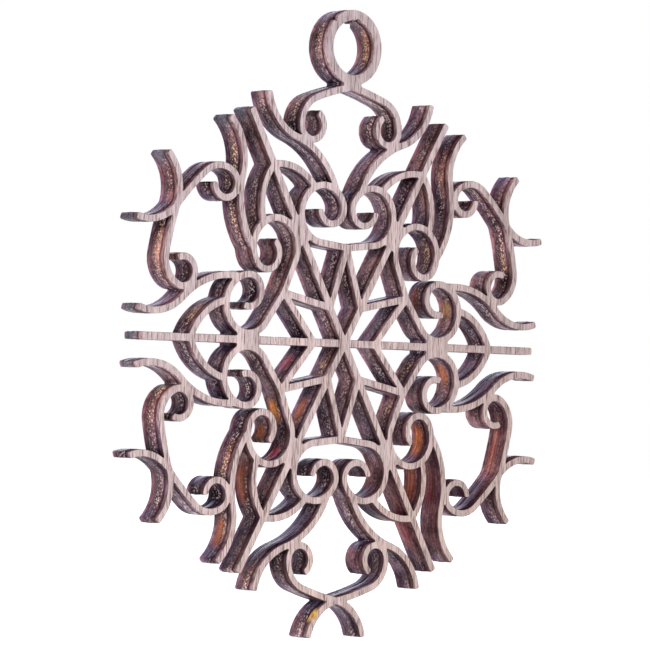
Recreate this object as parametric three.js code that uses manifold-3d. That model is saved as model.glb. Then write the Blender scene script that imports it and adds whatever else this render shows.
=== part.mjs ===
// A flat wooden snowflake ornament, cut in one pass through three-ply board.
// Millimetres. +Z is up and -Y is the front. The origin is the centre of the hanging ring.

import * as THREE from 'three';
import { mergeVertices } from 'three/addons/utils/BufferGeometryUtils.js';
import Module from 'manifold-3d';

const wasm = await Module();
wasm.setup();

// Board: two face veneers glued to a core.
const veneerThickness = 0.75;
const coreThickness = 1.5;

// Strokes that the cut leaves standing.
const barWidth = 0.87;
const strokeWidth = 0.78;
const endEase = 0.2;

// Facets: how far a chord may stray from its arc, how far one facet may turn in degrees,
// the facets around the ring, and how far a flat face's points may stray from its plane.
const chordError = 0.13;
const facetTurn = 34;
const ringFacets = 16;
const flatness = 0.002;

// Star: three straight bars cross at the centre, and a zigzag of straight edges joins them.
const barReach = 30;
const starNotch = 4.65;
const starPoint = 10.92;

// Scrolls: from each star point a stroke sweeps under a large circle and winds up inside it.
// The circle bites into its bar. The narrow wedges beside the bite are left uncut, as a hub.
// Angles are counted around the circle.
const scrollReach = 14.56;
const scrollRadius = 3.29;
const scrollBite = 0.06;
const hubLength = 3.3;
const voluteRadius = 1.8;
const voluteStart = 91;
const voluteEnd = 294;

// Leaves: a bowed stroke from the bar, back from its tip, to the side of the scroll.
const leafSetback = 7.07;
const leafLanding = 5;
const leafBow = 0.87;

// Wings: an S-shaped stroke from the top of the scroll to a free tip beside the bar.
const wingRoot = 65;
const wingHeading = 8.5;
const wingRadius = 9.88;
const wingSweep = 51.3;
const wingTipRadius = 6.26;
const wingTipSweep = 63;

// Forks: a curl bites into the wing, opens into an arch, and ends in a prong past its crossing.
// The narrow wedges beside the bite are left uncut, as a bridge.
const curlRadius = 1.65;
const curlPlace = 55.7;
const curlBite = 0.18;
const bridgeWidth = 2;
const curlStart = 59;
const curlEnd = 296.4;
const shoulderRadius = 3.29;
const shoulderSweep = 73.7;
const crownRadius = 36.8;
const prongRadius = 5.31;
const prongSweep = 67.5;

// Hanging ring: it takes the place of the top fork's prongs and stands on a short neck.
const ringHole = 6.28;
const ringBand = 1.16;
const ringBite = 0.17;
const neckWidth = 2.7;

// Finishes: bare veneer, and the core, which shows only as a scorched edge.
const veneerFinish = { color: 0xc8b2af, roughness: 0.75, metalness: 0 };
const coreFinish = { color: 0x5a4442, roughness: 0.65, metalness: 0 };

// The snowflake has six sectors, each centred on half a bar and mirrored about it.
const sectors = 6;
const sectorAngle = (2 * Math.PI) / sectors;
const forkAxis = sectorAngle / 2;
const topAxis = sectors / 2;

const radians = THREE.MathUtils.degToRad;

// A path is the middle line of a stroke: points, each with the heading there.

function pathFrom(x, y, heading) {
  return [{ x, y, heading }];
}

function straight(path, length) {
  const { x, y, heading } = path.at(-1);
  path.push({
    x: x + length * Math.cos(heading),
    y: y + length * Math.sin(heading),
    heading,
  });
  return path;
}

function arcSteps(radius, sweep) {
  const chordTurn = 2 * Math.acos(1 - chordError / radius);
  return Math.ceil(Math.abs(sweep) / Math.min(chordTurn, radians(facetTurn)));
}

// Turns left for a positive sweep and right for a negative one.
function bend(path, radius, sweep, steps = arcSteps(radius, sweep)) {
  const { x, y, heading } = path.at(-1);
  const lever = radius * Math.sign(sweep);
  for (let step = 1; step <= steps; step += 1) {
    const turned = heading + (sweep * step) / steps;
    path.push({
      x: x + lever * (Math.sin(turned) - Math.sin(heading)),
      y: y + lever * (Math.cos(heading) - Math.cos(turned)),
      heading: turned,
    });
  }
  return path;
}

function onCircle(centre, radius, angle) {
  return {
    x: centre.x + radius * Math.cos(angle),
    y: centre.y + radius * Math.sin(angle),
  };
}

// One half sector, drawn above a bar that lies along +X.

const scrollCentre = {
  x: scrollReach,
  y: scrollRadius + strokeWidth / 2 + barWidth / 2 - scrollBite,
};
const starTip = onCircle({ x: 0, y: 0 }, starPoint, forkAxis);

function starEdge() {
  const rise = Math.atan2(starTip.y, starTip.x - starNotch);
  const length = Math.hypot(starTip.x - starNotch, starTip.y);
  return straight(pathFrom(starNotch, 0, rise), length);
}

function scroll() {
  const toCentreX = scrollCentre.x - starTip.x;
  const toCentreY = scrollCentre.y - starTip.y;
  const distance = Math.hypot(toCentreX, toCentreY);
  const heading = Math.atan2(toCentreY, toCentreX) - Math.asin(scrollRadius / distance);
  const tangent = Math.sqrt(distance ** 2 - scrollRadius ** 2);
  const quarterTurn = Math.PI / 2;
  const path = straight(pathFrom(starTip.x, starTip.y, heading), tangent);
  bend(path, scrollRadius, radians(voluteStart) + quarterTurn - heading);
  return bend(path, voluteRadius, radians(voluteEnd - voluteStart));
}

// Crosses the bar, from the middle of one scroll's stroke to past that of its mirror image.
function hubOutline(angle) {
  const path = straight(pathFrom(scrollReach - hubLength / 2, 0, 0), hubLength);
  const width = 2 * (scrollCentre.y - scrollRadius) + strokeWidth / 2;
  return outline(placed(path, angle, 1), width);
}

function leaf() {
  const foot = barReach - leafSetback;
  const landing = onCircle(scrollCentre, scrollRadius, radians(leafLanding));
  const halfSpan = Math.hypot(landing.x - foot, landing.y) / 2;
  const radius = (halfSpan ** 2 + leafBow ** 2) / (2 * leafBow);
  const halfSweep = 2 * Math.atan2(leafBow, halfSpan);
  const heading = Math.atan2(landing.y, landing.x - foot) - halfSweep;
  return bend(pathFrom(foot, 0, heading), radius, 2 * halfSweep);
}

const wingStart = onCircle(scrollCentre, scrollRadius, radians(wingRoot));
const wingCentre = onCircle(wingStart, wingRadius, radians(wingHeading - 90));

function wing() {
  const path = pathFrom(wingStart.x, wingStart.y, radians(wingHeading));
  bend(path, wingRadius, -radians(wingSweep));
  return bend(path, wingTipRadius, radians(wingTipSweep));
}

const curlGap = strokeWidth - curlBite;
const curlCentre = onCircle(wingCentre, wingRadius + curlGap + curlRadius, radians(curlPlace));

function bridge() {
  const foot = onCircle(wingCentre, wingRadius, radians(curlPlace));
  return straight(pathFrom(foot.x, foot.y, radians(curlPlace)), curlGap);
}

// The arch of a fork, up to its crossing on the axis between two bars.
function arch() {
  const tip = onCircle(curlCentre, curlRadius, radians(curlStart));
  const path = pathFrom(tip.x, tip.y, radians(curlStart + 90));
  bend(path, curlRadius, radians(curlEnd - curlStart));
  bend(path, shoulderRadius, radians(shoulderSweep));
  const { x, y, heading } = path.at(-1);
  const crownX = x - crownRadius * Math.sin(heading);
  const crownY = y + crownRadius * Math.cos(heading);
  const offAxis = crownY * Math.cos(forkAxis) - crownX * Math.sin(forkAxis);
  const crossing = forkAxis - Math.asin(offAxis / crownRadius) + Math.PI / 2;
  const sweep = THREE.MathUtils.euclideanModulo(crossing - heading, 2 * Math.PI);
  return bend(path, crownRadius, sweep);
}

function fork() {
  return bend(arch(), prongRadius, -radians(prongSweep));
}

// Under the ring the two arches run past each other by one stroke width.
function ringArch() {
  return bend(arch(), crownRadius, strokeWidth / crownRadius);
}

// Turns a half sector's path to its bar, on one side of it.
function placed(path, angle, side) {
  return path.map(({ x, y, heading }) => ({
    x: x * Math.cos(angle) - side * y * Math.sin(angle),
    y: x * Math.sin(angle) + side * y * Math.cos(angle),
    heading: angle + side * heading,
  }));
}

function beside({ x, y, heading }, offset) {
  return { x: x - offset * Math.sin(heading), y: y + offset * Math.cos(heading) };
}

function reversed({ x, y, heading }) {
  return { x, y, heading: heading + Math.PI };
}

// Points across a free end, from its right side to its left one, with both corners eased.
function easedEnd(end, width) {
  const heel = straight([end], -endEase).at(-1);
  return [
    beside(heel, -width / 2),
    beside(end, endEase - width / 2),
    beside(end, width / 2 - endEase),
    beside(heel, width / 2),
  ];
}

// The outline of a stroke. A free end is eased, and an end inside another stroke is square.
function outline(path, width, { freeStart = false, freeEnd = false } = {}) {
  const first = freeStart ? 1 : 0;
  const last = freeEnd ? path.length - 1 : path.length;
  const run = path.slice(first, last);
  const right = run.map((point) => beside(point, -width / 2));
  const left = run.map((point) => beside(point, width / 2)).reverse();
  const endCap = freeEnd ? easedEnd(path.at(-1), width) : [];
  const startCap = freeStart ? easedEnd(reversed(path[0]), width) : [];
  const points = [...right, ...endCap, ...left, ...startCap];
  return new THREE.Shape(points.map(({ x, y }) => new THREE.Vector2(x, y)));
}

function circle(centreY, radius) {
  const start = pathFrom(0, centreY - radius, 0);
  const points = bend(start, radius, 2 * Math.PI, ringFacets).slice(1);
  return points.map(({ x, y }) => new THREE.Vector2(x, y));
}

const crossingReach = Math.hypot(arch().at(-1).x, arch().at(-1).y);
const ringReach = crossingReach + strokeWidth / 2 - ringBite + ringBand + ringHole / 2;

function ringOutline() {
  const shape = new THREE.Shape(circle(ringReach, ringHole / 2 + ringBand));
  shape.holes.push(new THREE.Path(circle(ringReach, ringHole / 2)));
  return shape;
}

function neckOutline() {
  const ringMiddle = ringReach - ringHole / 2 - ringBand / 2;
  const path = straight(pathFrom(0, crossingReach, Math.PI / 2), ringMiddle - crossingReach);
  return outline(path, neckWidth);
}

function barOutline(angle) {
  const path = straight(pathFrom(-barReach, 0, 0), 2 * barReach);
  return outline(placed(path, angle, 1), barWidth, { freeStart: true, freeEnd: true });
}

function halfSectorOutlines(sector, side) {
  const angle = sector * sectorAngle;
  const carriesRing = 2 * sector + side === topAxis;
  const topStroke = carriesRing
    ? outline(placed(ringArch(), angle, side), strokeWidth, { freeStart: true })
    : outline(placed(fork(), angle, side), strokeWidth, { freeStart: true, freeEnd: true });
  return [
    outline(placed(starEdge(), angle, side), strokeWidth),
    outline(placed(scroll(), angle, side), strokeWidth, { freeEnd: true }),
    outline(placed(leaf(), angle, side), strokeWidth),
    outline(placed(wing(), angle, side), strokeWidth, { freeEnd: true }),
    outline(placed(bridge(), angle, side), bridgeWidth),
    topStroke,
  ];
}

function snowflakeOutlines() {
  const outlines = [ringOutline(), neckOutline()];
  for (let bar = 0; bar < sectors / 2; bar += 1) {
    outlines.push(barOutline(bar * sectorAngle));
  }
  for (let sector = 0; sector < sectors; sector += 1) {
    outlines.push(hubOutline(sector * sectorAngle));
    for (const side of [1, -1]) {
      outlines.push(...halfSectorOutlines(sector, side));
    }
  }
  return outlines;
}

// Solids: an outline lies in the XZ plane, with its thickness towards the front.

function slab(shape, rear, thickness) {
  const geometry = new THREE.ExtrudeGeometry(shape, { depth: thickness, bevelEnabled: false });
  geometry.translate(0, 0, rear);
  geometry.rotateX(Math.PI / 2);
  geometry.deleteAttribute('normal');
  geometry.deleteAttribute('uv');
  const merged = mergeVertices(geometry);
  return new wasm.Manifold(new wasm.Mesh({
    numProp: 3,
    vertProperties: merged.attributes.position.array,
    triVerts: Uint32Array.from(merged.index.array),
  }));
}

function plyGeometry(rear, thickness) {
  const solid = snowflakeOutlines()
    .map((shape) => slab(shape, rear, thickness))
    .reduce((whole, stroke) => whole.add(stroke));
  const mesh = solid.asOriginal().simplify(flatness).getMesh();
  const geometry = new THREE.BufferGeometry();
  geometry.setAttribute('position', new THREE.BufferAttribute(mesh.vertProperties, 3));
  geometry.setIndex(new THREE.BufferAttribute(mesh.triVerts, 1));
  geometry.computeVertexNormals();
  return geometry;
}

function ply(name, rear, thickness, finish) {
  const material = new THREE.MeshStandardMaterial(finish);
  const mesh = new THREE.Mesh(plyGeometry(rear, thickness), material);
  mesh.name = name;
  return mesh;
}

const ornament = new THREE.Group();
ornament.add(
  ply('front_veneer', coreThickness / 2, veneerThickness, veneerFinish),
  ply('core_ply', -coreThickness / 2, coreThickness, coreFinish),
  ply('back_veneer', -coreThickness / 2 - veneerThickness, veneerThickness, veneerFinish),
);
ornament.position.z = -ringReach;

export default ornament;
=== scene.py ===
import copy
import math
from types import SimpleNamespace

import bpy
import numpy as np
from mathutils import Matrix, Vector
from mathutils.geometry import delaunay_2d_cdt


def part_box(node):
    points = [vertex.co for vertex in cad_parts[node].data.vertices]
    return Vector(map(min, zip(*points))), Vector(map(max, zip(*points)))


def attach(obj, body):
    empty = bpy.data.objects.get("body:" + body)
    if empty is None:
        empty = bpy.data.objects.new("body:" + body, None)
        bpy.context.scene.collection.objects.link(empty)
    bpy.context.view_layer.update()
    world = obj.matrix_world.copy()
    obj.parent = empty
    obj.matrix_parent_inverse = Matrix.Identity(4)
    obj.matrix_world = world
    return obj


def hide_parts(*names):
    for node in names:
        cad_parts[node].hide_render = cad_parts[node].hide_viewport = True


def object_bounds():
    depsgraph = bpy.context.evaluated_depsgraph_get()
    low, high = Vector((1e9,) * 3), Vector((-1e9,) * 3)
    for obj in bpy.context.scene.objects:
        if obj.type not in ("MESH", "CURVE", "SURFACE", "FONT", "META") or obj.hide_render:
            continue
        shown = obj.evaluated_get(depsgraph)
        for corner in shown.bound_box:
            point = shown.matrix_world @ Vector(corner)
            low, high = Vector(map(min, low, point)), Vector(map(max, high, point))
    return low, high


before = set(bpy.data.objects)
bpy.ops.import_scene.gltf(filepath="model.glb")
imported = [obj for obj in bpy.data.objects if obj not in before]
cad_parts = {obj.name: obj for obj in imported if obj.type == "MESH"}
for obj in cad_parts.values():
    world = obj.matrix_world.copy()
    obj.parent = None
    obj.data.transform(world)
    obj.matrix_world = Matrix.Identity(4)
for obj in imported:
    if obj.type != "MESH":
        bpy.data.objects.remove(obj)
cad_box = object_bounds()

# Sizes below are in millimetres and angles in degrees, except where a comment says otherwise.
# Paths turn by radians, and meshes are written in metres.
MM = 0.001
rad = math.radians

# Strokes that the cut leaves standing.
BAR_WIDTH = 0.87
STROKE_WIDTH = 0.78
CORNER_RADIUS = 0.2
WEB_CORNER = 0.05
KERF_FILLET = 0.1

# Star: three straight bars and a zigzag of straight edges.
SECTORS = 6
BAR_REACH = 30
STAR_NOTCH = 4.65
STAR_POINT = 10.92

# Scrolls, each on a hub.
SCROLL_REACH = 14.56
SCROLL_RADIUS = 3.29
SCROLL_BITE = 0.06
HUB_LENGTH = 3.3
VOLUTE_RADIUS = 1.8
VOLUTE_START = 91
VOLUTE_END = 294

# Leaves.
LEAF_SETBACK = 7.07
LEAF_LANDING = 5
LEAF_BOW = 0.87

# Wings.
WING_ROOT = 65
WING_HEADING = 8.5
WING_RADIUS = 9.88
WING_SWEEP = 51.3
WING_TIP_RADIUS = 6.26
WING_TIP_SWEEP = 63

# Forks, each on a bridge.
CURL_RADIUS = 1.65
CURL_PLACE = 55.7
CURL_BITE = 0.18
BRIDGE_WIDTH = 2
CURL_START = 59
CURL_END = 296.4
SHOULDER_RADIUS = 3.29
SHOULDER_SWEEP = 73.7
CROWN_RADIUS = 36.8
PRONG_RADIUS = 5.31
PRONG_SWEEP = 67.5

# Hanging ring on its neck.
RING_HOLE = 6.28
RING_BAND = 1.16
RING_BITE = 0.17
NECK_WIDTH = 2.7

# How finely the outline is drawn: samples along a stroke, the grid that it is traced on, with the
# distance that stands for far away, and the spacing of the points that are kept, with the fewest
# that make a loop. A wall is creased where the outline turns by more than the crease turn at one of
# them, and points closer than the smallest gap are one point.
SAMPLE_STEP = 0.08
GRID_STEP = 0.07
GRID_MARGIN = 0.6
FAR_AWAY = 4 * GRID_MARGIN
OUTLINE_STEP = 0.19
SHORTEST_LOOP = 12
CREASE_TURN = 11
SMALLEST_GAP = 1e-5

# Half a sector, in radians, and the distance between the middles of a curl's stroke and its wing's.
FORK_AXIS = math.pi / SECTORS
CURL_GAP = STROKE_WIDTH - CURL_BITE


# Paths: lists of (x, y, heading) along the middle of a stroke.

def straight(path, length):
    x, y, heading = path[-1]
    count = math.ceil(abs(length) / SAMPLE_STEP)
    for step in range(1, count + 1):
        run = length * step / count
        path.append((x + run * math.cos(heading), y + run * math.sin(heading), heading))
    return path


def bend(path, radius, sweep):
    x, y, heading = path[-1]
    lever = math.copysign(radius, sweep)
    count = math.ceil(radius * abs(sweep) / SAMPLE_STEP)
    for step in range(1, count + 1):
        turned = heading + sweep * step / count
        path.append((
            x + lever * (math.sin(turned) - math.sin(heading)),
            y + lever * (math.cos(heading) - math.cos(turned)),
            turned,
        ))
    return path


def on_circle(centre, radius, angle):
    return centre[0] + radius * math.cos(angle), centre[1] + radius * math.sin(angle)


# One half sector, above a bar that lies along +X.

SCROLL_CENTRE = (SCROLL_REACH, SCROLL_RADIUS + STROKE_WIDTH / 2 + BAR_WIDTH / 2 - SCROLL_BITE)
STAR_TIP = on_circle((0, 0), STAR_POINT, FORK_AXIS)
WING_START = on_circle(SCROLL_CENTRE, SCROLL_RADIUS, rad(WING_ROOT))
WING_CENTRE = on_circle(WING_START, WING_RADIUS, rad(WING_HEADING - 90))
CURL_CENTRE = on_circle(WING_CENTRE, WING_RADIUS + CURL_GAP + CURL_RADIUS, rad(CURL_PLACE))


def star_edge():
    run_x, run_y = STAR_TIP[0] - STAR_NOTCH, STAR_TIP[1]
    return straight([(STAR_NOTCH, 0, math.atan2(run_y, run_x))], math.hypot(run_x, run_y))


def scroll():
    to_x, to_y = SCROLL_CENTRE[0] - STAR_TIP[0], SCROLL_CENTRE[1] - STAR_TIP[1]
    distance = math.hypot(to_x, to_y)
    heading = math.atan2(to_y, to_x) - math.asin(SCROLL_RADIUS / distance)
    path = straight([(*STAR_TIP, heading)], math.sqrt(distance**2 - SCROLL_RADIUS**2))
    bend(path, SCROLL_RADIUS, rad(VOLUTE_START + 90) - heading)
    return bend(path, VOLUTE_RADIUS, rad(VOLUTE_END - VOLUTE_START))


def leaf():
    foot = BAR_REACH - LEAF_SETBACK
    landing = on_circle(SCROLL_CENTRE, SCROLL_RADIUS, rad(LEAF_LANDING))
    half_span = math.hypot(landing[0] - foot, landing[1]) / 2
    radius = (half_span**2 + LEAF_BOW**2) / (2 * LEAF_BOW)
    half_sweep = 2 * math.atan2(LEAF_BOW, half_span)
    heading = math.atan2(landing[1], landing[0] - foot) - half_sweep
    return bend([(foot, 0, heading)], radius, 2 * half_sweep)


def wing():
    path = bend([(*WING_START, rad(WING_HEADING))], WING_RADIUS, -rad(WING_SWEEP))
    return bend(path, WING_TIP_RADIUS, rad(WING_TIP_SWEEP))


def arch():
    path = [(*on_circle(CURL_CENTRE, CURL_RADIUS, rad(CURL_START)), rad(CURL_START + 90))]
    bend(path, CURL_RADIUS, rad(CURL_END - CURL_START))
    bend(path, SHOULDER_RADIUS, rad(SHOULDER_SWEEP))
    x, y, heading = path[-1]
    crown_x = x - CROWN_RADIUS * math.sin(heading)
    crown_y = y + CROWN_RADIUS * math.cos(heading)
    off_axis = crown_y * math.cos(FORK_AXIS) - crown_x * math.sin(FORK_AXIS)
    crossing = FORK_AXIS - math.asin(off_axis / CROWN_RADIUS) + math.pi / 2
    return bend(path, CROWN_RADIUS, (crossing - heading) % math.tau)


def fork():
    return bend(arch(), PRONG_RADIUS, -rad(PRONG_SWEEP))


def ring_arch():
    return bend(arch(), CROWN_RADIUS, STROKE_WIDTH / CROWN_RADIUS)


CROSSING_REACH = math.hypot(*arch()[-1][:2])
RING_REACH = CROSSING_REACH + STROKE_WIDTH / 2 - RING_BITE + RING_BAND + RING_HOLE / 2


def placed(path, angle, side):
    x, y, heading = np.array(path).T
    y, heading = side * y, side * heading
    return np.column_stack([
        x * math.cos(angle) - y * math.sin(angle),
        x * math.sin(angle) + y * math.cos(angle),
        heading + angle,
    ])


# Distances to the strokes, negative inside, on a grid around the snowflake's centre.

def corner_distance(along, across, corner):
    """Distance to a quarter plane with a rounded corner, from its two plain distances."""
    outside = np.hypot(np.maximum(along + corner, 0), np.maximum(across + corner, 0))
    inside = np.minimum(np.maximum(along, across) + corner, 0)
    return outside + inside - corner


def end_frame(points, end):
    """Distances of points beyond a path's end and beside it."""
    dx, dy = points[:, 0] - end[0], points[:, 1] - end[1]
    along = dx * math.cos(end[2]) + dy * math.sin(end[2])
    across = np.abs(dy * math.cos(end[2]) - dx * math.sin(end[2]))
    return along, across


def stroke_distance(points, path, width, free_start, free_end):
    """Distance to a stroke, whose free ends are square and whose other ends are round."""
    gaps = (points[:, None, 0] - path[:, 0]) ** 2 + (points[:, None, 1] - path[:, 1]) ** 2
    nearest = gaps.argmin(1)
    distance = np.sqrt(gaps[np.arange(len(points)), nearest]) - width / 2
    reach = math.ceil(CORNER_RADIUS / SAMPLE_STEP)
    ends = []
    if free_end:
        ends.append((path[-1], nearest >= len(path) - 1 - reach))
    if free_start:
        ends.append((path[0] + (0, 0, math.pi), nearest <= reach))
    for end, near in ends:
        along, across = end_frame(points[near], end)
        distance[near] = corner_distance(along, across - width / 2, CORNER_RADIUS)
    return distance


def box_distance(points, path, width, corner):
    """Distance to a straight stroke with square ends."""
    beyond_end, across = end_frame(points, path[-1])
    beyond_start, _ = end_frame(points, path[0] + (0, 0, math.pi))
    return corner_distance(np.maximum(beyond_end, beyond_start), across - width / 2, corner)


class Field:
    """The smooth union of all strokes as distances on a grid."""

    def __init__(self, low, high):
        self.low = np.array(low) - GRID_MARGIN
        self.x = np.arange(self.low[0], high[0] + GRID_MARGIN, GRID_STEP)
        self.y = np.arange(self.low[1], high[1] + GRID_MARGIN, GRID_STEP)
        self.distance = np.full((len(self.y), len(self.x)), FAR_AWAY)

    def add(self, path, width, measure):
        reach = width / 2 + GRID_MARGIN
        low, high = path[:, :2].min(0) - reach, path[:, :2].max(0) + reach
        columns = slice(*np.searchsorted(self.x, (low[0], high[0])))
        rows = slice(*np.searchsorted(self.y, (low[1], high[1])))
        x, y = np.meshgrid(self.x[columns], self.y[rows])
        new = measure(np.column_stack([x.ravel(), y.ravel()])).reshape(x.shape)
        old = self.distance[rows, columns]
        overlap = np.maximum(KERF_FILLET - np.abs(old - new), 0) / KERF_FILLET
        self.distance[rows, columns] = np.minimum(old, new) - overlap**2 * KERF_FILLET / 4

    def stroke(self, path, width, free_start=False, free_end=False):
        self.add(path, width, lambda p: stroke_distance(p, path, width, free_start, free_end))

    def box(self, path, width, corner):
        self.add(path, width, lambda p: box_distance(p, path, width, corner))

    def ring(self, centre_y, radius, width):
        path = placed(bend([(0, centre_y - radius, 0)], radius, math.tau), 0, 1)
        self.stroke(path, width)

    def nicked(self, nicks):
        """A copy with small discs cut out of it: board x and z of each, and its radius."""
        field = copy.copy(self)
        for x, z, radius in nicks:
            depth = radius - np.hypot(self.x - x, self.y[:, None] - z - RING_REACH)
            field.distance = np.maximum(field.distance, depth)
        return field

    def sample(self, points):
        """Distance and its slope at points inside the grid."""
        column = (points[:, 0] - self.low[0]) / GRID_STEP
        row = (points[:, 1] - self.low[1]) / GRID_STEP
        i, j = column.astype(int), row.astype(int)
        u, v = column - i, row - j
        a, b = self.distance[j, i], self.distance[j, i + 1]
        c, d = self.distance[j + 1, i], self.distance[j + 1, i + 1]
        value = (a * (1 - u) + b * u) * (1 - v) + (c * (1 - u) + d * u) * v
        slope_x = ((b - a) * (1 - v) + (d - c) * v) / GRID_STEP
        slope_y = ((c - a) * (1 - u) + (d - b) * u) / GRID_STEP
        return value, np.column_stack([slope_x, slope_y])


def snowflake_field():
    low, high = np.array(cad_box[0]) / MM, np.array(cad_box[1]) / MM
    field = Field((low[0], low[2] + RING_REACH), (high[0], high[2] + RING_REACH))
    field.ring(RING_REACH, RING_HOLE / 2 + RING_BAND / 2, RING_BAND)
    neck_height = RING_REACH - RING_HOLE / 2 - RING_BAND / 2 - CROSSING_REACH
    neck = straight([(0, CROSSING_REACH, math.pi / 2)], neck_height)
    field.box(placed(neck, 0, 1), NECK_WIDTH, WEB_CORNER)
    bar = straight([(-BAR_REACH, 0, 0)], 2 * BAR_REACH)
    hub = straight([(SCROLL_REACH - HUB_LENGTH / 2, 0, 0)], HUB_LENGTH)
    hub_width = 2 * (SCROLL_CENTRE[1] - SCROLL_RADIUS) + STROKE_WIDTH / 2
    bridge_foot = on_circle(WING_CENTRE, WING_RADIUS, rad(CURL_PLACE))
    bridge = straight([(*bridge_foot, rad(CURL_PLACE))], CURL_GAP)
    for sector in range(SECTORS):
        angle = 2 * sector * FORK_AXIS
        if sector < SECTORS / 2:
            field.box(placed(bar, angle, 1), BAR_WIDTH, CORNER_RADIUS)
        field.box(placed(hub, angle, 1), hub_width, WEB_CORNER)
        for side in (1, -1):
            carries_ring = 2 * sector + side == SECTORS / 2
            field.stroke(placed(star_edge(), angle, side), STROKE_WIDTH)
            field.stroke(placed(scroll(), angle, side), STROKE_WIDTH, free_end=True)
            field.stroke(placed(leaf(), angle, side), STROKE_WIDTH)
            field.stroke(placed(wing(), angle, side), STROKE_WIDTH, free_end=True)
            field.box(placed(bridge, angle, side), BRIDGE_WIDTH, WEB_CORNER)
            top = ring_arch() if carries_ring else fork()
            field.stroke(placed(top, angle, side), STROKE_WIDTH, True, not carries_ring)
    return field


# Tracing the field's zero line into closed loops with the wood on the left. A cell's case adds up
# its corners of wood: 1 at the lower left, 2 lower right, 4 upper right and 8 upper left. Its runs
# go from one side of the cell to another.

BOTTOM, RIGHT, TOP, LEFT = range(4)
CELL_RUNS = {
    1: [(BOTTOM, LEFT)], 2: [(RIGHT, BOTTOM)], 3: [(RIGHT, LEFT)], 4: [(TOP, RIGHT)],
    6: [(TOP, BOTTOM)], 7: [(TOP, LEFT)], 8: [(LEFT, TOP)], 9: [(BOTTOM, TOP)],
    11: [(RIGHT, TOP)], 12: [(LEFT, RIGHT)], 13: [(BOTTOM, RIGHT)], 14: [(LEFT, BOTTOM)],
    5: [(TOP, LEFT), (BOTTOM, RIGHT)], 10: [(LEFT, BOTTOM), (RIGHT, TOP)],
}


def trace(field):
    wood = field.distance < 0
    rows, columns = wood.shape
    case = wood[:-1, :-1] + 2 * wood[:-1, 1:] + 4 * wood[1:, 1:] + 8 * wood[1:, :-1]
    across = rows * columns
    following = {}
    for number, runs in CELL_RUNS.items():
        j, i = np.nonzero(case == number)
        edge = {
            BOTTOM: j * columns + i,
            TOP: (j + 1) * columns + i,
            LEFT: across + j * columns + i,
            RIGHT: across + j * columns + i + 1,
        }
        for start, end in runs:
            following.update(zip(edge[start].tolist(), edge[end].tolist()))
    loops = []
    while following:
        loop = []
        edge = next(iter(following))
        while edge in following:
            loop.append(edge)
            edge = following.pop(edge)
        loops.append(edge_points(field, np.array(loop)))
    return loops


def edge_points(field, edges):
    rows, columns = field.distance.shape
    upright = edges >= rows * columns
    j, i = np.divmod(edges % (rows * columns), columns)
    near = field.distance[j, i]
    far = field.distance[j + upright, i + ~upright]
    share = near / (near - far)
    x = field.x[i] + np.where(upright, 0, share) * GRID_STEP
    y = field.y[j] + np.where(upright, share, 0) * GRID_STEP
    return np.column_stack([x, y])


def evenly_spaced(loop):
    closed = np.vstack([loop, loop[:1]])
    run = np.concatenate([[0], np.cumsum(np.hypot(*np.diff(closed, axis=0).T))])
    count = max(SHORTEST_LOOP, round(run[-1] / OUTLINE_STEP))
    places = np.linspace(0, run[-1], count, endpoint=False)
    return np.column_stack([np.interp(places, run, closed[:, k]) for k in range(2)])


class Outline:
    """Evenly spaced points around every loop, their outward directions and the filled face."""

    def __init__(self, field):
        loops = [evenly_spaced(loop) for loop in trace(field) if len(loop) > SHORTEST_LOOP]
        sizes = np.array([len(loop) for loop in loops])
        self.points = np.vstack(loops)
        value, slope = field.sample(self.points)
        slope /= np.linalg.norm(slope, axis=1, keepdims=True)
        self.points -= value[:, None] * slope
        self.outward = slope
        first = np.repeat(np.cumsum(sizes) - sizes, sizes)
        place = np.arange(len(self.points)) - first
        self.next = first + (place + 1) % np.repeat(sizes, sizes)
        ahead = self.points[self.next] - self.points
        behind = np.empty_like(ahead)
        behind[self.next] = ahead
        turn = np.arctan2(np.cross(behind, ahead), (behind * ahead).sum(1))
        self.creased = np.abs(turn) > rad(CREASE_TURN)
        self.triangles = self.filled(field)

    def filled(self, field):
        """Triangles of the wood: along the outline those on its left, and elsewhere by the field."""
        corners = [Vector(point) for point in self.points]
        edges = list(enumerate(self.next.tolist()))
        whole_hull = 0
        _, _, faces, sources, _, _ = delaunay_2d_cdt(corners, edges, [], whole_hull, SMALLEST_GAP)
        origin = np.array([ids[0] for ids in sources])
        triangles = origin[np.array(faces)]
        a, b, c = (self.points[triangles[:, k]] for k in range(3))
        clockwise = np.cross(b - a, c - a) < 0
        triangles[clockwise] = triangles[clockwise][:, ::-1]
        ahead = np.roll(triangles, -1, axis=1)
        on_left = (self.next[triangles] == ahead).any(1)
        on_right = (self.next[ahead] == triangles).any(1)
        middle = field.sample((a + b + c) / 3)[0] < 0
        return triangles[on_left | (middle & ~on_right)]


# Plies: the outline carried through the board by rings of (depth from the ply's front plane,
# inset from the outline). Rims are eased and the middle swells, with a ring at each of these shares.
EASE_SHARES = (0, 0.3, 1)
SWELL_SHARES = (0.3, 0.5, 0.7)
WAVER_SEED = 11


def profile_of(thickness, front_ease, back_ease, swell):
    """Rings of a ply's edge, from its front plane to its back plane."""
    front_rim = [(front_ease * share, front_ease * (1 - share) ** 2) for share in EASE_SHARES]
    middle = [(thickness * share, -swell * math.sin(math.pi * share)) for share in SWELL_SHARES]
    back_rim = [
        (thickness - back_ease * share, back_ease * (1 - share) ** 2)
        for share in reversed(EASE_SHARES)
    ]
    return front_rim + middle + back_rim


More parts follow.
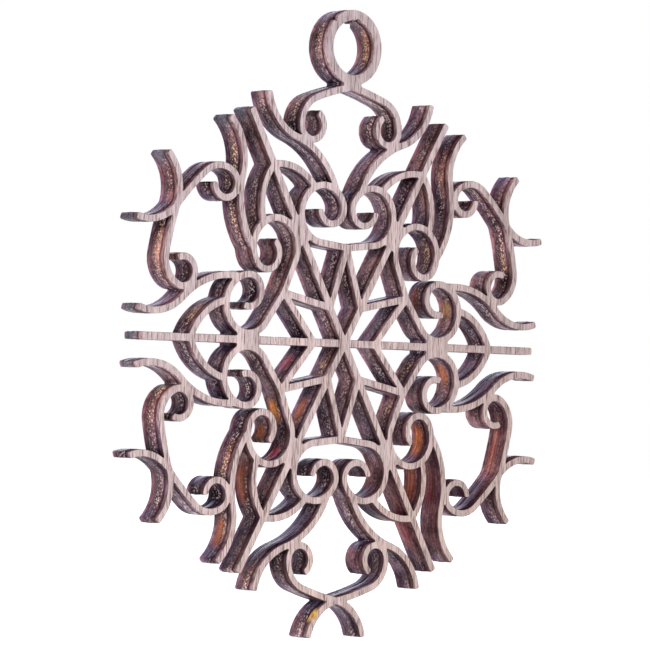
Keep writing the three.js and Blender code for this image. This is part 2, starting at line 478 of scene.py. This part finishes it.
def crease_walls(mesh, outline):
    """Sharp edges through the board where the outline turns sharply."""
    ends = np.empty(2 * len(mesh.edges), dtype=np.int32)
    mesh.edges.foreach_get("vertices", ends)
    ends = ends.reshape(-1, 2) % len(outline.points)
    through = ends[:, 0] == ends[:, 1]
    mesh.edges.foreach_set("use_edge_sharp", through & outline.creased[ends[:, 0]])


def ply_mesh(name, outline, front, profile, waver, rng):
    """A closed ply. Its two faces have its first material, and its walls the second."""
    count = len(outline.points)
    rings = []
    for depth, inset in profile:
        jitter = rng.normal(0, waver, count)
        smooth = (jitter + jitter[outline.next]) / 2
        flat = outline.points - outline.outward * (inset + smooth)[:, None]
        height = flat[:, 1] - RING_REACH
        rings.append(np.column_stack([flat[:, 0], np.full(count, front + depth), height]))
    vertices = np.vstack(rings) * MM
    here = np.arange(count)
    walls = np.vstack([
        np.column_stack([
            ring * count + here,
            (ring + 1) * count + here,
            (ring + 1) * count + outline.next,
            ring * count + outline.next,
        ])
        for ring in range(len(profile) - 1)
    ])
    front_cap = outline.triangles
    back_cap = outline.triangles[:, ::-1] + (len(profile) - 1) * count
    faces = walls.tolist() + front_cap.tolist() + back_cap.tolist()
    mesh = bpy.data.meshes.new(name)
    mesh.from_pydata(vertices, [], faces)
    is_wall = np.arange(len(faces)) < len(walls)
    mesh.polygons.foreach_set("use_smooth", is_wall)
    mesh.polygons.foreach_set("material_index", is_wall.astype(np.int32))
    crease_walls(mesh, outline)
    mesh.update()
    return mesh


# Material helpers. Most add nodes to a tree and return the socket that carries the result.

UP, DOWN, RIGHTWARD, BACKWARD = (0, 0, 1), (0, 0, -1), (1, 0, 0), (0, 1, 0)

# A wall counts as facing a direction from the first of these cosines on, and fully at the second.
FACING_COSINES = (0.35, 0.98)

# A spot fades in from the first of these shares of its radius to the second.
SPOT_FADE = (1.3, 0.5)

# One dot in each cell of a pattern: how it fades from its middle, and how its strength varies.
DOT_FADE = [(0.28, 1.0), (0.5, 0.0)]
DOT_STRENGTH = [(0.0, 0.2), (0.55, 1.0)]

# Sockets of a node that mixes two colours.
MIX_FACTOR, MIX_FIRST, MIX_SECOND, MIX_RESULT = 0, 6, 7, 2


def connect(tree, node, inputs):
    """Give a node's inputs their links or values."""
    for key, value in inputs.items():
        if isinstance(value, bpy.types.NodeSocket):
            tree.links.new(value, node.inputs[key])
        else:
            node.inputs[key].default_value = value


def add_node(tree, kind, inputs=None, **settings):
    node = tree.nodes.new("ShaderNode" + kind)
    for key, value in settings.items():
        setattr(node, key, value)
    connect(tree, node, inputs or {})
    return node


def new_material(name):
    material = bpy.data.materials.new(name)
    material.use_nodes = True
    tree = material.node_tree
    tree.nodes.clear()
    shader = add_node(tree, "BsdfPrincipled")
    add_node(tree, "OutputMaterial", {"Surface": shader.outputs["BSDF"]})
    return material, tree, shader


def srgb(red, green, blue):
    """The linear colour of a screen's red, green and blue."""
    def linear(value):
        value /= 255
        return value / 12.92 if value <= 0.04045 else ((value + 0.055) / 1.055) ** 2.4
    return (linear(red), linear(green), linear(blue), 1)


def combine(tree, operation, first, second):
    return add_node(tree, "Math", {0: first, 1: second}, operation=operation).outputs[0]


def multiply(tree, first, second):
    return combine(tree, "MULTIPLY", first, second)


def mix(tree, factor, first, second, blend="MIX"):
    inputs = {MIX_FACTOR: factor, MIX_FIRST: first, MIX_SECOND: second}
    return add_node(tree, "Mix", inputs, data_type="RGBA", blend_type=blend).outputs[MIX_RESULT]


def multiply_colour(tree, first, second, share=1.0):
    return mix(tree, share, first, second, "MULTIPLY")


def ramp(tree, factor, stops):
    """Colours or greys between (position, colour) stops."""
    node = add_node(tree, "ValToRGB", {"Fac": factor})
    elements = node.color_ramp.elements
    while len(elements) < len(stops):
        elements.new(1)
    for element, (position, colour) in zip(elements, stops):
        element.position = position
        element.color = colour if isinstance(colour, tuple) else (colour, colour, colour, 1)
    return node.outputs["Color"]


def towards(shade):
    """Stops of a ramp from 1, where a mask is 0, to a shade or tint, where it is 1."""
    return [(0.0, 1.0), (1.0, shade)]


def without(tree, mask, hidden):
    """A mask that fades out where another one is 1."""
    return multiply(tree, mask, ramp(tree, hidden, towards(0.0)))


def board_place(tree):
    return add_node(tree, "TexCoord").outputs["Object"]


def in_cells(tree, cells):
    """Places in the board, counted in cells: so many per millimetre along x, y and z."""
    scale = tuple(share / MM for share in cells)
    return add_node(tree, "Mapping", {"Vector": board_place(tree), "Scale": scale}).outputs["Vector"]


def noise(tree, cells, detail=2.0, roughness=0.5, offset=0.0, distortion=0.0):
    return add_node(tree, "TexNoise", {
        "Vector": in_cells(tree, cells), "W": offset, "Scale": 1.0, "Detail": detail,
        "Roughness": roughness, "Distortion": distortion,
    }, noise_dimensions="4D").outputs["Fac"]


def dots(tree, cells):
    """One round dot in each cell, of random strength."""
    pattern = add_node(tree, "TexVoronoi", {"Vector": in_cells(tree, cells), "Scale": 1.0})
    chance = add_node(tree, "SeparateColor", {"Color": pattern.outputs["Color"]}).outputs["Red"]
    near = ramp(tree, pattern.outputs["Distance"], DOT_FADE)
    return multiply(tree, near, ramp(tree, chance, DOT_STRENGTH))


def from_to(tree, value, low, high):
    """From 0 to 1 as a value goes from low to high."""
    return add_node(tree, "MapRange", {
        "Value": value, "From Min": low, "From Max": high,
    }).outputs["Result"]


def along(tree, place, direction, low, high):
    """From 0 to 1 between two distances along a direction in the board."""
    run = add_node(tree, "VectorMath", {0: place, 1: direction}, operation="DOT_PRODUCT")
    return from_to(tree, run.outputs["Value"], low * MM, high * MM)


def facing(tree, direction):
    """From 0 on walls beside a direction to 1 on those that face it."""
    normal = add_node(tree, "NewGeometry").outputs["Normal"]
    lift = add_node(tree, "VectorMath", {0: normal, 1: direction}, operation="DOT_PRODUCT")
    return from_to(tree, lift.outputs["Value"], *FACING_COSINES)


def around(tree, place, x, z, radius, y=0):
    """From 0 to 1 towards a point of the board."""
    centre = (x * MM, y * MM, z * MM)
    far = add_node(tree, "VectorMath", {0: place, 1: centre}, operation="DISTANCE")
    outer, inner = (share * radius * MM for share in SPOT_FADE)
    return from_to(tree, far.outputs["Value"], outer, inner)


def patches(tree, place, spots):
    """From 0 to 1 towards the nearest of several points of the board."""
    masks = [around(tree, place, *spot) for spot in spots]
    nearest = masks[0]
    for mask in masks[1:]:
        nearest = combine(tree, "MAXIMUM", nearest, mask)
    return nearest


def relief(tree, height, strength, depth):
    """Normals of a surface that a noise raises and sinks."""
    return add_node(tree, "Bump", {
        "Strength": strength, "Distance": depth * MM, "Height": height,
    }).outputs["Normal"]


# The veneer is warmer towards the lower right, palest left of the centre and darker on the ring.
COOL_VENEER = srgb(198, 180, 184)
WARM_VENEER = srgb(200, 177, 171)
WARMER = (0.5, 0, -0.87)
WARMTH_REACH = (0, 60)
PALENESS = [(0.0, 1.01), (0.4, 1.09), (0.62, 1.03), (0.95, 0.86)]
PALENESS_REACH = (-30, 25)
RING_SHADE = 0.73
RING_SHADE_RADIUS = 5.5

# Its figure runs upright: a slow change of tone, broad streaks, fine lines and short dark pores.
TONE_NOISE = {"cells": (0.16, 0.16, 0.07), "offset": 1.3}
TONE = [(0.35, srgb(255, 253, 249)), (0.65, 0.92)]
FIGURE_NOISE = {"cells": (1.1, 0.5, 0.045), "roughness": 0.6}
FIGURE = [(0.3, 0.84), (0.7, 1.2)]
LINE_NOISE = {
    "cells": (4.8, 1.0, 0.36), "detail": 3, "roughness": 0.75, "offset": 3.1, "distortion": 0.2,
}
LINES = [(0.36, srgb(176, 158, 156)), (0.46, 1.0), (0.64, 1.25)]
PORE_NOISE = {"cells": (7.0, 2.0, 0.5), "detail": 1, "offset": 7.7, "distortion": 0.1}
PORES = [(0.33, 0.9), (0.41, 0.0)]
PORE_COLOUR = srgb(108, 78, 72)
VENEER_RELIEF = {"strength": 0.6, "depth": 0.03}
VENEER_ROUGHNESS = 0.72
VENEER_GLOSS = 0.25


def veneer_material(name):
    """Bare veneer with its grain upright."""
    material, tree, shader = new_material(name)
    place = board_place(tree)
    lines = noise(tree, **LINE_NOISE)
    colour = mix(tree, along(tree, place, WARMER, *WARMTH_REACH), COOL_VENEER, WARM_VENEER)
    for factor, stops in (
        (along(tree, place, RIGHTWARD, *PALENESS_REACH), PALENESS),
        (around(tree, place, 0, 0, RING_SHADE_RADIUS), towards(RING_SHADE)),
        (noise(tree, **TONE_NOISE), TONE),
        (noise(tree, **FIGURE_NOISE), FIGURE),
        (lines, LINES),
    ):
        colour = multiply_colour(tree, colour, ramp(tree, factor, stops))
    pore_mask = ramp(tree, noise(tree, **PORE_NOISE), PORES)
    connect(tree, shader, {
        "Base Color": mix(tree, pore_mask, colour, PORE_COLOUR),
        "Normal": relief(tree, lines, **VENEER_RELIEF),
        "Roughness": VENEER_ROUGHNESS,
        "Specular IOR Level": VENEER_GLOSS,
    })
    return material


# Fresh wood where a splinter is gone from the front veneer of the bottom fork.
BARE_WOOD = {"x": -3.25, "y": -1.1, "z": -64.8, "radius": 0.9}
BARE_COLOUR = srgb(224, 178, 108)
FRESH_NOISE = {"cells": (0.6, 1.0, 4.0), "detail": 3, "roughness": 0.7, "offset": 6.0}
FRESH = [(0.35, srgb(204, 150, 82)), (0.6, srgb(230, 190, 122))]
CHARRED_NICK = srgb(58, 40, 46)
FRESH_ROUGHNESS = 0.7
FRESH_GLOSS = 0.2


def fresh_material(name):
    """Wood inside the board: fresh where a splinter is gone, and charred at the other nicks."""
    material, tree, shader = new_material(name)
    fresh = ramp(tree, noise(tree, **FRESH_NOISE), FRESH)
    bare = around(tree, board_place(tree), **BARE_WOOD)
    connect(tree, shader, {
        "Base Color": mix(tree, bare, CHARRED_NICK, fresh),
        "Roughness": FRESH_ROUGHNESS,
        "Specular IOR Level": FRESH_GLOSS,
    })
    return material


# The charred walls. Spots in the lists below are board x and z, and radius.

# Cut fibres darken the wall between them.
FIBRE_NOISE = {"roughness": 0.6, "offset": 2.0}
FIBRES = [(0.32, 0.36), (0.63, 1.62)]
CUT_RELIEF = {"strength": 0.7, "depth": 0.05}

# Resin lies along the walls, level with the faces, in runs of lighter and darker tone; the lighter
# runs are partly painted highlights.
RUN_NOISE = {"cells": (0.12, 3.2, 0.12), "roughness": 0.6, "offset": 4.0}
RUNS = [(0.36, 0.5), (0.5, 1.0), (0.64, 1.6)]

# Resin that boiled out of the cut and set as a clear glaze, each spot with its colour, partly painted
# reflection and light coming through between the walls, brightened where they lie in shade. It lies
# within a range of depths, thickest in the middle.
GLAZE_AND_PAINTED_LIGHT = (
    (-8.85, -41.65, 1.4, (232, 144, 66)),
    (-5.4, -41.4, 1.6, (184, 102, 66)),
    (-10.8, -44.2, 0.9, (190, 112, 66)),
    (-13.4, -49.7, 2.4, (176, 96, 72)),
    (-16.5, -55.3, 1.8, (148, 80, 46)),
    (13.6, -44.8, 1.8, (226, 130, 80)),
    (12.6, -49.6, 2.6, (170, 96, 74)),
    (-7.3, -36.3, 1.3, (166, 58, 64)),
    (-9.1, -46.6, 1.2, (172, 56, 66)),
    (11.6, -54.9, 2.4, (124, 58, 62)),
    (25.2, -45.5, 3.2, (150, 86, 74)),
    (16.9, -36.9, 1.4, (190, 108, 76)),
    (17.7, -29.3, 1.1, (196, 142, 92)),
    (13.4, -28.4, 1.6, (160, 98, 80)),
    (16.0, -50.0, 2.6, (122, 58, 60)),
)
GLAZE_DEPTH = (-0.6, 1.2)
GLAZE_COVER = [(0.0, 0.0), (0.2, 0.9), (0.7, 0.7), (1.0, 0.0)]
GLAZE_FIBRES = [(0.3, 0.6), (0.65, 1.3)]

# Resin seals the cut fibres here, so that no specks and hardly any glue line show.
SEALED = ((14, -51, 9.5), (25, -46, 6.5), (3.8, -58.6, 1.8))
SEALED_COLOUR = srgb(122, 80, 80)
SEALED_COVER = 0.8

# Specks lie in clusters, in a stripe of browner wood that is painted lighter; they are partly pale
# fibre ends and partly painted glints. Here they are thickest, and golden.
GOLDEN_SPECKS_AND_GLINTS = (
    (-6.2, -8.0, 2.2), (-16.2, -14.0, 3.0), (-16.1, -20.4, 3.2), (-26.8, -23.6, 2.6),
    (13.5, -22.3, 2.4), (26.1, -23.0, 3.4), (-26.4, -40.5, 2.6), (-16.0, -47.2, 2.6),
    (-2.0, -36.4, 1.8), (8.0, -41.5, 1.8), (10.9, -36.6, 1.8), (-3.2, 1.0, 1.8),
    (3.2, 0.2, 2.2), (-22.2, -31, 2.2),
)
GOLDEN_SPECK_AND_GLINT = srgb(255, 212, 164)
PALE_SPECK_AND_GLINT = srgb(250, 228, 222)
CLUSTER_NOISE = {"cells": (0.22, 0.22, 0.22), "offset": 5.0}
SPECK_CLUSTERS = [(0.42, 0.3), (0.56, 1.0)]
BROWN_AND_LIT_STRIPE_TINT = (1.24, 1.08, 0.98, 1)

# Painted shade: the walls are darker and bluer in these spots, among them the volutes' curls.
SHADED_SPOTS = (
    (-17.2, -51, 3.2), (-12, -54.2, 2.6), (19.7, -51, 2.6), (-27, -48, 5.5), (-9, -57, 3),
    (4.2, -65.5, 2.6), (-31, -46.6, 2), (1.5, 2.8, 1.3), (-13.6, -28.6, 2), (-13.6, -39.1, 2),
    (-23.3, -26.3, 1.7), (-23.6, -41.4, 1.6), (-5.2, -58.4, 1.5), (-3.2, -48.6, 2),
    (3.9, -48.4, 1.8), (-16.6, -12.6, 2.2),
)
SHADED_SPOT_TINT = (0.5, 0.46, 0.6, 1)

# Ash greyed these tips.
ASHEN = (
    (-26.9, -13.2, 1.7), (-18.2, -9, 1.6), (-15.2, -8, 1.5), (-31, -21.4, 1.8),
    (-30.6, -30.4, 1.6), (-30, -33.8, 1.4), (-30.6, -37.2, 1.6),
)
ASHEN_COLOUR = srgb(84, 82, 92)
ASHEN_COVER = 0.75

# Soot leaves navy shadows, and lighter scoured patches that shine more.
SOOT_NOISE = {"cells": (0.26, 0.45, 0.26), "detail": 4, "roughness": 0.55}
SOOT = [(0.34, (0.2, 0.15, 0.26, 1)), (0.5, (0.92, 0.9, 1.02, 1)), (0.66, (2.05, 2.0, 1.98, 1))]
SHEEN = [(0.4, 0.3), (0.62, 2.2)]

# Heat turned the wood brown in places and left it greyer in others.
HEAT_NOISE = {"cells": (0.13, 0.3, 0.13), "offset": 8.0}
HEAT = [(0.38, (0.88, 0.97, 1.15, 1)), (0.5, (1, 1, 1, 1)), (0.62, (1.1, 1.0, 0.88, 1))]

# It left the cut brownest here.
BROWNED = (
    (13, -11, 6.5), (21, -17, 5.5), (3, 0, 2.5), (-28, -42, 3.2), (-17, -46.8, 3),
    (-25.4, -16.4, 3), (-4.6, -64.6, 2.4),
)
BROWNED_TINT = (1.2, 0.99, 0.9, 1)

# The front veneer is charred right up to its face in places, but hardly at the ring.
CHARRED_RIM = srgb(86, 57, 57)
CHARRED_RIM_COVER = [(0.44, 0.75), (0.6, 0.05)]
PALE_RIM = ((0, -1, 7.5),)
PALE_RIM_SHARE = 0.1

# Painted shade: walls are darker and bluer where other walls stand within reach, in tight curls and
# narrow gaps.
CURL_SHADE = [(0.2, (0.34, 0.32, 0.42, 1)), (0.72, (1.0, 1.0, 1.0, 1))]
CURL_REACH = 2.0
CURL_SAMPLES = 4

# Painted light and shade: the cut is darkest at the bottom and lightest a third of the way down.
HEIGHT_SHADE_RANGE = (0, -64)
HEIGHT_SHADE = [(0.0, 0.9), (0.35, 1.2), (0.6, 1.1), (1.0, 0.8)]

# Painted light: walls that face up are painted navy, with lavender streaks of painted sheen, and
# those that face down are painted blue grey, a painted reflection.
UPWARD_PAINTED_TINT = (0.58, 0.58, 0.94, 1)
UPWARD_SHEEN = [(0.0, 1.0), (0.6, 0.0)]
DOWNWARD_PAINTED_REFLECTION = (1.08, 1.28, 1.56, 1)
PAINTED_SHEEN_COLOUR = srgb(146, 142, 180)
STREAK_LIFT = [(0.2, 0.0), (0.85, 0.7), (1.0, 1.0)]
STREAK_RUNS = [(0.43, 0.0), (0.57, 1.0)]
PAINTED_SHEEN_COVER = 0.7
STREAK_GLINT = 0.3


def wall_masks(tree, edge, depth):
    """What several layers of a charred wall go by."""
    wall = SimpleNamespace(place=board_place(tree))
    wall.through = along(tree, wall.place, BACKWARD, *depth)
    wall.fibres = noise(tree, edge["grain"], **FIBRE_NOISE)
    wall.runs = noise(tree, **RUN_NOISE)
    # Runs of lighter and darker tone; the lighter ones are partly painted highlights.
    wall.run_shade = ramp(tree, wall.runs, RUNS)
    wall.soot = noise(tree, **SOOT_NOISE)
    wall.clusters = noise(tree, **CLUSTER_NOISE)
    wall.sealed = patches(tree, wall.place, SEALED)
    wall.golden = patches(tree, wall.place, GOLDEN_SPECKS_AND_GLINTS)
    wall.ashen = multiply(tree, patches(tree, wall.place, ASHEN), ASHEN_COVER * edge["weathered_and_facing_light"])
    wall.upward = without(tree, facing(tree, UP), wall.golden)
    streaks = multiply(tree, ramp(tree, wall.upward, STREAK_LIFT), ramp(tree, wall.runs, STREAK_RUNS))
    wall.streaks = multiply(tree, streaks, ramp(tree, wall.through, edge["streak_band"]))
    return wall


def burnt_wood_and_painted_light(tree, edge, wall):
    """Bands of colour through the ply, and what resin, heat, soot and ash did to them, with painted
    light and shade: tints of walls that face up or down, darker spots and close walls, and a ramp by
    height.
    """
    sealed_wood = multiply_colour(tree, wall.run_shade, SEALED_COLOUR)
    bands = ramp(tree, wall.through, edge["bands"])
    colour = mix(tree, multiply(tree, wall.sealed, SEALED_COVER), bands, sealed_wood)
    if edge["meets_front_face"]:
        pale = ramp(tree, patches(tree, wall.place, PALE_RIM), towards(PALE_RIM_SHARE))
        rim = multiply(tree, ramp(tree, wall.clusters, CHARRED_RIM_COVER), pale)
        colour = mix(tree, rim, colour, CHARRED_RIM)
    colour = multiply_colour(tree, colour, ramp(tree, wall.soot, SOOT), edge["sooted"])
    for factor, stops in (
        (noise(tree, **HEAT_NOISE), HEAT),
        (patches(tree, wall.place, BROWNED), towards(BROWNED_TINT)),
        # Painted light: tints of walls that face up or down.
        (wall.upward, towards(UPWARD_PAINTED_TINT)),
        (facing(tree, DOWN), towards(DOWNWARD_PAINTED_REFLECTION)),
    ):
        colour = multiply_colour(tree, colour, ramp(tree, factor, stops), edge["weathered_and_facing_light"])
    colour = mix(tree, wall.ashen, colour, ASHEN_COLOUR)
    # Painted shade: an ambient occlusion node darkens walls that other walls stand close to.
    curls = add_node(tree, "AmbientOcclusion", {"Distance": CURL_REACH * MM}, samples=CURL_SAMPLES)
    for factor, stops in (
        (wall.fibres, FIBRES),
        # Painted shade in the listed spots.
        (patches(tree, wall.place, SHADED_SPOTS), towards(SHADED_SPOT_TINT)),
        (curls.outputs["AO"], CURL_SHADE),
        # Painted light and shade by height.
        (along(tree, wall.place, UP, *HEIGHT_SHADE_RANGE), HEIGHT_SHADE),
    ):
        colour = multiply_colour(tree, colour, ramp(tree, factor, stops))
    return colour


def with_specks_and_glints(tree, edge, wall, colour):
    """Fibre ends that stayed pale or golden in the char, partly painted glints, over a stripe that is
    painted lighter.
    """
    thick = combine(tree, "MAXIMUM", ramp(tree, wall.clusters, SPECK_CLUSTERS), wall.golden)
    stripe = multiply(tree, thick, ramp(tree, wall.through, edge["speck_band"]))
    for hidden in (wall.sealed, wall.upward, wall.ashen):
        stripe = without(tree, stripe, hidden)
    # Painted light: the stripe is tinted lighter, and its specks are partly painted glints.
    colour = multiply_colour(tree, colour, ramp(tree, stripe, towards(BROWN_AND_LIT_STRIPE_TINT)))
    specks = multiply(tree, dots(tree, edge["grain"]), stripe)
    return mix(tree, specks, colour, mix(tree, wall.golden, PALE_SPECK_AND_GLINT, GOLDEN_SPECK_AND_GLINT))


def with_glaze_and_painted_light(tree, wall, colour):
    """Spots of resin and of painted reflected light, with runs and fibres showing through."""
    cover = ramp(tree, along(tree, wall.place, BACKWARD, *GLAZE_DEPTH), GLAZE_COVER)
    shade = multiply_colour(tree, wall.run_shade, ramp(tree, wall.fibres, GLAZE_FIBRES))
    # Each spot is partly resin and partly painted reflection and light.
    for x, z, radius, tint in GLAZE_AND_PAINTED_LIGHT:
        spot = multiply(tree, around(tree, wall.place, x, z, radius), cover)
        colour = mix(tree, spot, colour, multiply_colour(tree, shade, srgb(*tint)))
    return colour


def wall_sheen(tree, edge, wall):
    """Gloss of scoured patches, and of the streaks on walls that face up."""
    stops = [(position, share * edge["gloss"]) for position, share in SHEEN]
    sheen = ramp(tree, wall.soot, stops)
    sheen = multiply(tree, sheen, ramp(tree, wall.upward, UPWARD_SHEEN))
    return combine(tree, "ADD", sheen, multiply(tree, wall.streaks, STREAK_GLINT))


def charred_material(name, edge, depth):
    """Scorched cut edge of one ply, between its two depths in the board."""
    material, tree, shader = new_material(name)
    wall = wall_masks(tree, edge, depth)
    colour = burnt_wood_and_painted_light(tree, edge, wall)
    colour = with_specks_and_glints(tree, edge, wall, colour)
    colour = with_glaze_and_painted_light(tree, wall, colour)
    if edge["meets_front_face"]:
        colour = mix(tree, around(tree, wall.place, **BARE_WOOD), colour, BARE_COLOUR)
    # Painted sheen: lavender streaks on walls that face up.
    colour = mix(tree, multiply(tree, wall.streaks, PAINTED_SHEEN_COVER), colour, PAINTED_SHEEN_COLOUR)
    connect(tree, shader, {
        "Base Color": colour,
        "Normal": relief(tree, wall.fibres, **CUT_RELIEF),
        "Roughness": edge["roughness"],
        "Specular IOR Level": wall_sheen(tree, edge, wall),
    })
    return material


# Grain runs up the veneers and across the core, in cells per millimetre.
ACROSS_GRAIN, ALONG_GRAIN = 3.8, 0.7
UPRIGHT_GRAIN = (ACROSS_GRAIN, ACROSS_GRAIN, ALONG_GRAIN)
LEVEL_GRAIN = (ALONG_GRAIN, ACROSS_GRAIN, ACROSS_GRAIN)

# The cut edge of each ply. Bands go from its front plane to its back plane. Sooted and weathered are
# the shares of soot, and of heat, ash and the painted light on walls that face up or down, that it
# shows. Eases are those of its front rim and its back rim, and then its swell. Nicks are bites that
# the burn took out of the ring, and the lost splinter: board x and z, and radius.
EDGES = {
    "front_veneer": {
        "bands": [(0.0, srgb(184, 158, 156)), (0.3, srgb(166, 137, 135)), (0.58, srgb(146, 115, 115)),
                  (0.72, srgb(84, 58, 62)), (0.94, srgb(78, 53, 58)), (1.0, srgb(98, 72, 78))],
        "meets_front_face": True,
        "sooted": 0.4,
        "weathered_and_facing_light": 0.35,
        "grain": UPRIGHT_GRAIN,
        "speck_band": [(0.0, 0.15), (0.4, 0.0)],
        "streak_band": [(0.0, 0.0), (1.0, 0.0)],
        "nicks": [(-2.9, 3.15, 0.32), (0.5, 3.0, 0.34), (-3.4, -64.7, 0.46)],
        "eases": (0.04, 0.05, 0.0),
        "waver": 0.006,
        "roughness": 0.7,
        "gloss": 0.05,
    },
    "core_ply": {
        "bands": [(0.0, srgb(98, 70, 73)), (0.1, srgb(116, 88, 90)), (0.4, srgb(106, 79, 82)),
                  (0.6, srgb(84, 60, 66)), (0.8, srgb(76, 54, 63)), (1.0, srgb(78, 55, 64))],
        "meets_front_face": False,
        "sooted": 1.0,
        "weathered_and_facing_light": 1.0,
        "grain": LEVEL_GRAIN,
        "speck_band": [(0.03, 0.0), (0.12, 1.0), (0.5, 0.9), (0.75, 0.15)],
        "streak_band": [(0.1, 0.0), (0.4, 1.0)],
        "nicks": [(0.7, 3.05, 0.26)],
        "eases": (0.05, 0.03, 0.03),
        "waver": 0.012,
        "roughness": 0.42,
        "gloss": 0.08,
    },
    "back_veneer": {
        "bands": [(0.0, srgb(80, 55, 63)), (0.4, srgb(106, 72, 77)), (0.8, srgb(114, 84, 97)),
                  (1.0, srgb(142, 117, 137))],
        "meets_front_face": False,
        "sooted": 0.9,
        "weathered_and_facing_light": 1.0,
        "grain": UPRIGHT_GRAIN,
        "speck_band": [(0.0, 0.1), (1.0, 0.0)],
        "streak_band": [(0.3, 1.0), (1.0, 0.9)],
        "nicks": [(1.6, 2.75, 0.34)],
        "eases": (0.03, 0.06, 0.0),
        "waver": 0.006,
        "roughness": 0.45,
        "gloss": 0.07,
    },
}


def ply_planes(node):
    low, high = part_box(node)
    return low.y / MM, high.y / MM


def build_plies():
    field = snowflake_field()
    rng = np.random.default_rng(WAVER_SEED)
    veneer = veneer_material("veneer")
    fresh = fresh_material("fresh_wood")
    for node, edge in EDGES.items():
        front, back = ply_planes(node)
        profile = profile_of(back - front, *edge["eases"])
        outline = Outline(field.nicked(edge["nicks"]))
        mesh = ply_mesh(node + "_cut", outline, front, profile, edge["waver"], rng)
        mesh.materials.append(fresh if node == "core_ply" else veneer)
        mesh.materials.append(charred_material(node + "_edge", edge, (front, back)))
        piece = bpy.data.objects.new(node + "_cut", mesh)
        bpy.context.scene.collection.objects.link(piece)
        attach(piece, "root")
        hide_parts(node)


# Camera: the photo is square, and the plate is turned away from it about the upright axis. Its
# sensor is in millimetres and its clipping in metres.

PHOTO_PIXELS = 650
CENTRE_PIXEL = (344.8, 343.7)
FOCAL_PIXELS = 4152
CAMERA_DISTANCE = 473.6
YAW, PITCH, ROLL = 41.9, -0.9, -1.8
SENSOR_WIDTH = 36
CLIP_START, CLIP_END = 0.01, 50

# Photo axes, right, up and towards the camera, in the board's x, y and z.
PHOTO_TO_BOARD = Matrix(((1, 0, 0), (0, 0, -1), (0, 1, 0)))


def build_camera():
    turn = Matrix.Rotation(rad(ROLL), 3, "Z") @ Matrix.Rotation(rad(PITCH), 3, "X")
    turn = turn @ Matrix.Rotation(rad(YAW), 3, "Y")
    axes = PHOTO_TO_BOARD @ turn.transposed()
    shift_x = (CENTRE_PIXEL[0] - PHOTO_PIXELS / 2) / FOCAL_PIXELS * CAMERA_DISTANCE
    shift_y = -(CENTRE_PIXEL[1] - PHOTO_PIXELS / 2) / FOCAL_PIXELS * CAMERA_DISTANCE
    face_centre = Vector((0, ply_planes("front_veneer")[0], -RING_REACH))
    place = face_centre + axes @ Vector((-shift_x, -shift_y, CAMERA_DISTANCE))
    data = bpy.data.cameras.new("camera")
    data.sensor_width = SENSOR_WIDTH
    data.lens = SENSOR_WIDTH * FOCAL_PIXELS / PHOTO_PIXELS
    data.clip_start = CLIP_START
    data.clip_end = CLIP_END
    camera = bpy.data.objects.new("camera", data)
    camera.matrix_world = Matrix.Translation(place * MM) @ axes.to_4x4()
    bpy.context.scene.collection.objects.link(camera)
    bpy.context.scene.camera = camera


# Stage and light. The floor's drop is in millimetres, and its size and the lamps are in metres.

WHITE = (1, 1, 1, 1)
FLOOR_DROP = 60
FLOOR_SIZE = 6
FLOOR_COLOUR = (0.86, 0.86, 0.86, 1)
FLOOR_ROUGHNESS = 0.9
FLOOR_GLOW = 0.8
SKY_COLOUR = (0.95, 0.96, 1.0, 1)
SKY_STRENGTH = 0.55

# Name, place, size and watts.
LAMPS = (
    ("key", (0.1, -0.88, 0.2), 0.6, 3.9),
    ("side", (-0.78, 0.3, 0.06), 0.3, 3.5),
    ("back", (0.4, 0.75, 0.15), 0.6, 2.2),
)


def background_share(tree):
    """1 for rays that see the background: camera, glossy and transmission rays."""
    path = add_node(tree, "LightPath")
    seen = path.outputs["Is Camera Ray"]
    for output in ("Is Glossy Ray", "Is Transmission Ray"):
        seen = combine(tree, "MAXIMUM", seen, path.outputs[output])
    return seen


def build_stage():
    height = cad_box[0][2] - FLOOR_DROP * MM
    bpy.ops.mesh.primitive_plane_add(size=FLOOR_SIZE, location=(0, 0, height))
    floor = bpy.context.object
    floor.name = "floor"
    material, tree, shader = new_material("floor")
    connect(tree, shader, {
        "Base Color": FLOOR_COLOUR,
        "Roughness": FLOOR_ROUGHNESS,
        "Emission Color": WHITE,
        "Emission Strength": multiply(tree, background_share(tree), FLOOR_GLOW),
    })
    floor.data.materials.append(material)


def build_world():
    world = bpy.data.worlds.new("studio")
    bpy.context.scene.world = world
    world.use_nodes = True
    tree = world.node_tree
    tree.nodes.clear()
    lighting = add_node(tree, "Background", {"Color": SKY_COLOUR, "Strength": SKY_STRENGTH})
    white = add_node(tree, "Background", {"Color": WHITE, "Strength": 1.0})
    chosen = add_node(tree, "MixShader", {
        0: background_share(tree), 1: lighting.outputs[0], 2: white.outputs[0],
    })
    add_node(tree, "OutputWorld", {"Surface": chosen.outputs[0]})


def build_lamp(name, place, size, watts):
    data = bpy.data.lights.new(name, "AREA")
    data.size = size
    data.energy = watts
    lamp = bpy.data.objects.new(name, data)
    lamp.location = place
    target = Vector((0, 0, -RING_REACH * MM))
    lamp.rotation_euler = (target - Vector(place)).to_track_quat("-Z", "Y").to_euler()
    bpy.context.scene.collection.objects.link(lamp)


bpy.context.scene.view_settings.view_transform = "Standard"
build_camera()
build_plies()
build_stage()
build_world()
for lamp_settings in LAMPS:
    build_lamp(*lamp_settings)
